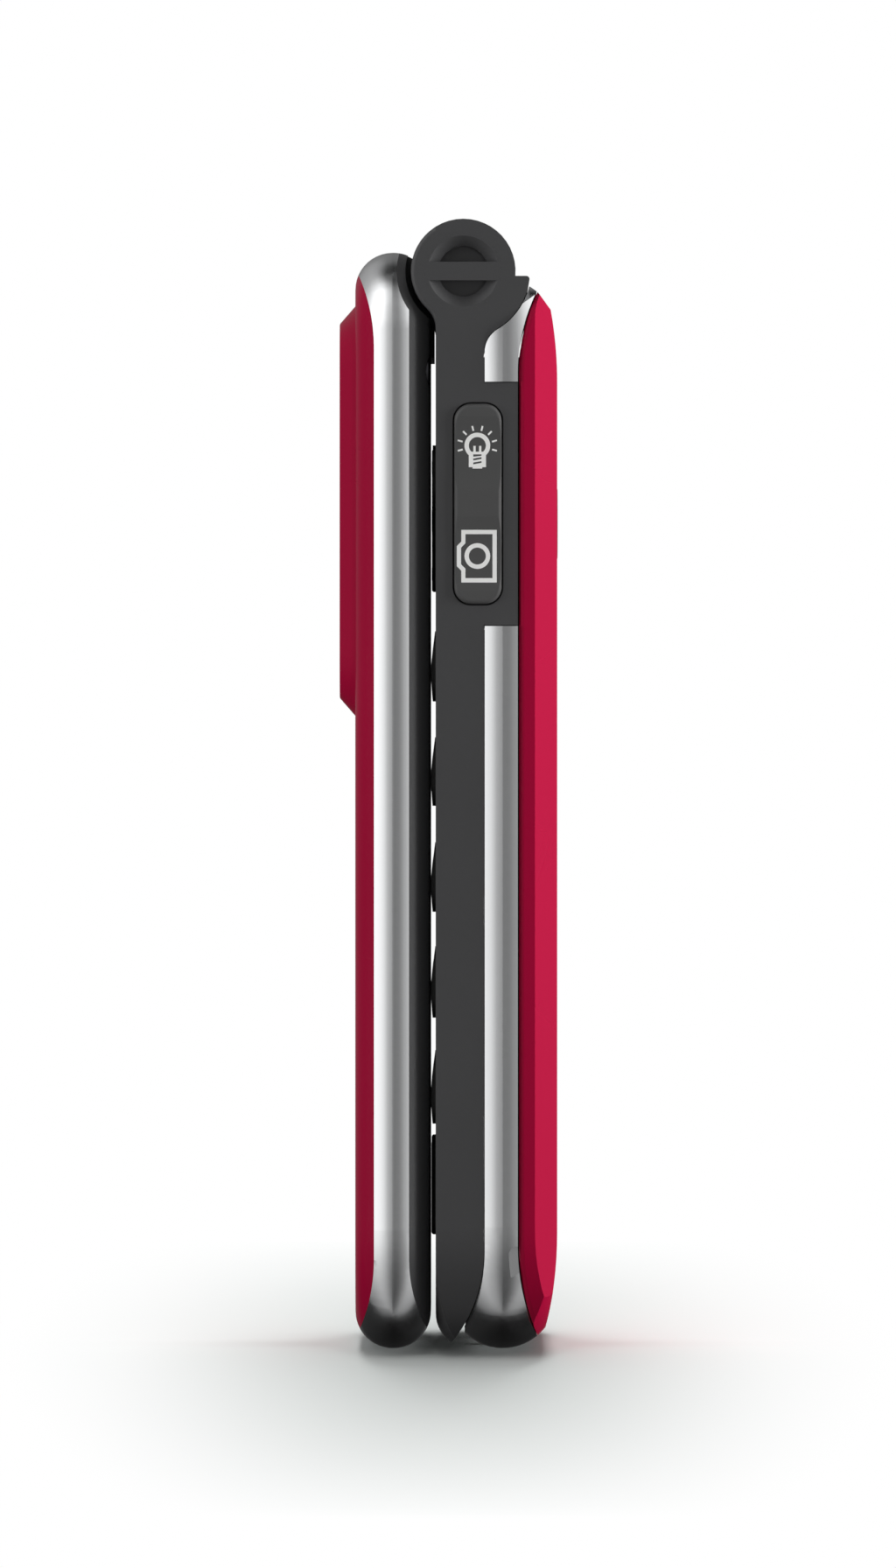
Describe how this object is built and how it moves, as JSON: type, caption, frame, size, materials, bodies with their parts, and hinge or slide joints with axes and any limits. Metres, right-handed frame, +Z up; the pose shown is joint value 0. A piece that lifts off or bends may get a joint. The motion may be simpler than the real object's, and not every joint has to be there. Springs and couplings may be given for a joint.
{
  "type": "flip phone",
  "caption": "Closed clamshell phone with a dark hinge barrel on top, red outer covers, silver side bands, a side rocker, a raised outer display panel and a lift-off battery cover.",
  "frame": {"origin": "centre of the closed phone's bottom end", "axes": "+Z up along the closed phone towards the hinge, -X towards the lid's outer face, +X towards the battery cover, Y along the hinge axis"},
  "size_m": [0.02, 0.053, 0.1034],
  "materials": {
    "red_gloss": "gloss",
    "silver_band": "satin metallised",
    "dark_casing": "satin",
    "inner_housing": "matt",
    "key_plastic": "satin",
    "battery_wrap": "matt film",
    "silicone": "matt",
    "circuit_board": "solder mask",
    "tin_plate": "satin",
    "contact_block": "matt",
    "bumper_rubber": "matt",
    "screw_steel": "black zinc",
    "hinge_steel": "ground",
    "display_glass": "polished, dark border",
    "display_module": "gloss",
    "led_plastic": "clear",
    "flex_film": "polyimide"
  },
  "bodies": {
    "base": {"base_front_housing": "dark_casing", "base_rear_housing": "inner_housing", "base_band_lower": "silver_band", "base_band_upper": "silver_band", "battery": "battery_wrap", "keypad_mat": "silicone", "main_board": "circuit_board", "shield_cans": "tin_plate", "card_holders": "tin_plate", "battery_contacts": "contact_block", "usb_socket": "tin_plate", "loudspeaker": "contact_block", "vibration_motor": "tin_plate", "side_key_boards": "circuit_board", "rubber_bumpers": "bumper_rubber", "base_screws": "screw_steel", "hinge_cap_right": "dark_casing", "hinge_cap_left": "dark_casing", "hinge_cam": "hinge_steel", "hinge_shaft": "hinge_steel", "hinge_bush": "hinge_steel"},
    "lid": {"lid_outer_cover": "red_gloss", "lid_band": "silver_band", "lid_inner_frame": "dark_casing", "main_display_lens": "display_glass", "main_display": "display_module", "lid_board": "circuit_board", "lid_screws": "screw_steel", "outer_window": "display_glass", "outer_display": "display_module", "camera_module": "contact_block", "torch_led": "led_plastic", "earpiece": "contact_block", "hinge_can": "hinge_steel", "hinge_follower": "hinge_steel", "hinge_spring": "hinge_steel", "display_flex": "flex_film"},
    "battery_cover": {"battery_cover": "red_gloss"},
    "torch_camera_rocker": {"torch_camera_rocker": "key_plastic"},
    "volume_rocker": {"volume_rocker": "key_plastic"},
    "sos_button": {"sos_button": "key_plastic"},
    "soft_key_left": {"soft_key_left": "key_plastic"},
    "soft_key_right": {"soft_key_right": "key_plastic"},
    "nav_ring": {"nav_ring": "key_plastic"},
    "ok_key": {"ok_key": "key_plastic"},
    "call_key": {"call_key": "key_plastic"},
    "clear_key": {"clear_key": "key_plastic"},
    "end_key": {"end_key": "key_plastic"},
    "key_1": {"key_1": "key_plastic"},
    "key_2": {"key_2": "key_plastic"},
    "key_3": {"key_3": "key_plastic"},
    "key_4": {"key_4": "key_plastic"},
    "key_5": {"key_5": "key_plastic"},
    "key_6": {"key_6": "key_plastic"},
    "key_7": {"key_7": "key_plastic"},
    "key_8": {"key_8": "key_plastic"},
    "key_9": {"key_9": "key_plastic"},
    "key_star": {"key_star": "key_plastic"},
    "key_0": {"key_0": "key_plastic"},
    "key_hash": {"key_hash": "key_plastic"}
  },
  "joints": [
    {"name": "lid_hinge", "type": "hinge", "parent": "base", "child": "lid", "pos_m": [0.00129, 0, 0.09862], "axis": [0, 1, 0], "range_deg": [0, 160]},
    {"name": "cover_pull", "type": "slide", "parent": "base", "child": "battery_cover", "axis": [1, 0, 0], "range_m": [0, 0.012]},
    {"name": "soft_key_left_press", "type": "slide", "parent": "base", "child": "soft_key_left", "axis": [1, 0, 0], "range_m": [0, 0.00025], "stiffness_N_per_m": 600, "springref_m": -0.0004},
    {"name": "soft_key_right_press", "type": "slide", "parent": "base", "child": "soft_key_right", "axis": [1, 0, 0], "range_m": [0, 0.00025], "stiffness_N_per_m": 600, "springref_m": -0.0004},
    {"name": "nav_ring_press", "type": "slide", "parent": "base", "child": "nav_ring", "axis": [1, 0, 0], "range_m": [0, 0.00025], "stiffness_N_per_m": 600, "springref_m": -0.0004},
    {"name": "ok_key_press", "type": "slide", "parent": "base", "child": "ok_key", "axis": [1, 0, 0], "range_m": [0, 0.00025], "stiffness_N_per_m": 600, "springref_m": -0.0004},
    {"name": "call_key_press", "type": "slide", "parent": "base", "child": "call_key", "axis": [1, 0, 0], "range_m": [0, 0.00025], "stiffness_N_per_m": 600, "springref_m": -0.0004},
    {"name": "clear_key_press", "type": "slide", "parent": "base", "child": "clear_key", "axis": [1, 0, 0], "range_m": [0, 0.00025], "stiffness_N_per_m": 600, "springref_m": -0.0004},
    {"name": "end_key_press", "type": "slide", "parent": "base", "child": "end_key", "axis": [1, 0, 0], "range_m": [0, 0.00025], "stiffness_N_per_m": 600, "springref_m": -0.0004},
    {"name": "key_1_press", "type": "slide", "parent": "base", "child": "key_1", "axis": [1, 0, 0], "range_m": [0, 0.00025], "stiffness_N_per_m": 600, "springref_m": -0.0004},
    {"name": "key_2_press", "type": "slide", "parent": "base", "child": "key_2", "axis": [1, 0, 0], "range_m": [0, 0.00025], "stiffness_N_per_m": 600, "springref_m": -0.0004},
    {"name": "key_3_press", "type": "slide", "parent": "base", "child": "key_3", "axis": [1, 0, 0], "range_m": [0, 0.00025], "stiffness_N_per_m": 600, "springref_m": -0.0004},
    {"name": "key_4_press", "type": "slide", "parent": "base", "child": "key_4", "axis": [1, 0, 0], "range_m": [0, 0.00025], "stiffness_N_per_m": 600, "springref_m": -0.0004},
    {"name": "key_5_press", "type": "slide", "parent": "base", "child": "key_5", "axis": [1, 0, 0], "range_m": [0, 0.00025], "stiffness_N_per_m": 600, "springref_m": -0.0004},
    {"name": "key_6_press", "type": "slide", "parent": "base", "child": "key_6", "axis": [1, 0, 0], "range_m": [0, 0.00025], "stiffness_N_per_m": 600, "springref_m": -0.0004},
    {"name": "key_7_press", "type": "slide", "parent": "base", "child": "key_7", "axis": [1, 0, 0], "range_m": [0, 0.00025], "stiffness_N_per_m": 600, "springref_m": -0.0004},
    {"name": "key_8_press", "type": "slide", "parent": "base", "child": "key_8", "axis": [1, 0, 0], "range_m": [0, 0.00025], "stiffness_N_per_m": 600, "springref_m": -0.0004},
    {"name": "key_9_press", "type": "slide", "parent": "base", "child": "key_9", "axis": [1, 0, 0], "range_m": [0, 0.00025], "stiffness_N_per_m": 600, "springref_m": -0.0004},
    {"name": "key_star_press", "type": "slide", "parent": "base", "child": "key_star", "axis": [1, 0, 0], "range_m": [0, 0.00025], "stiffness_N_per_m": 600, "springref_m": -0.0004},
    {"name": "key_0_press", "type": "slide", "parent": "base", "child": "key_0", "axis": [1, 0, 0], "range_m": [0, 0.00025], "stiffness_N_per_m": 600, "springref_m": -0.0004},
    {"name": "key_hash_press", "type": "slide", "parent": "base", "child": "key_hash", "axis": [1, 0, 0], "range_m": [0, 0.00025], "stiffness_N_per_m": 600, "springref_m": -0.0004},
    {"name": "sos_press", "type": "slide", "parent": "base", "child": "sos_button", "axis": [-1, 0, 0], "range_m": [0, 0.0003], "stiffness_N_per_m": 600, "springref_m": -0.0004},
    {"name": "torch_camera_rocker_tilt", "type": "hinge", "parent": "base", "child": "torch_camera_rocker", "pos_m": [0.00263, -0.02395, 0.07735], "axis": [1, 0, 0], "range_deg": [-1.6, 1.6], "stiffness_Nm_per_rad": 0.05},
    {"name": "volume_rocker_tilt", "type": "hinge", "parent": "base", "child": "volume_rocker", "pos_m": [0.00263, 0.02395, 0.07735], "axis": [1, 0, 0], "range_deg": [-1.6, 1.6], "stiffness_Nm_per_rad": 0.05}
  ]
}
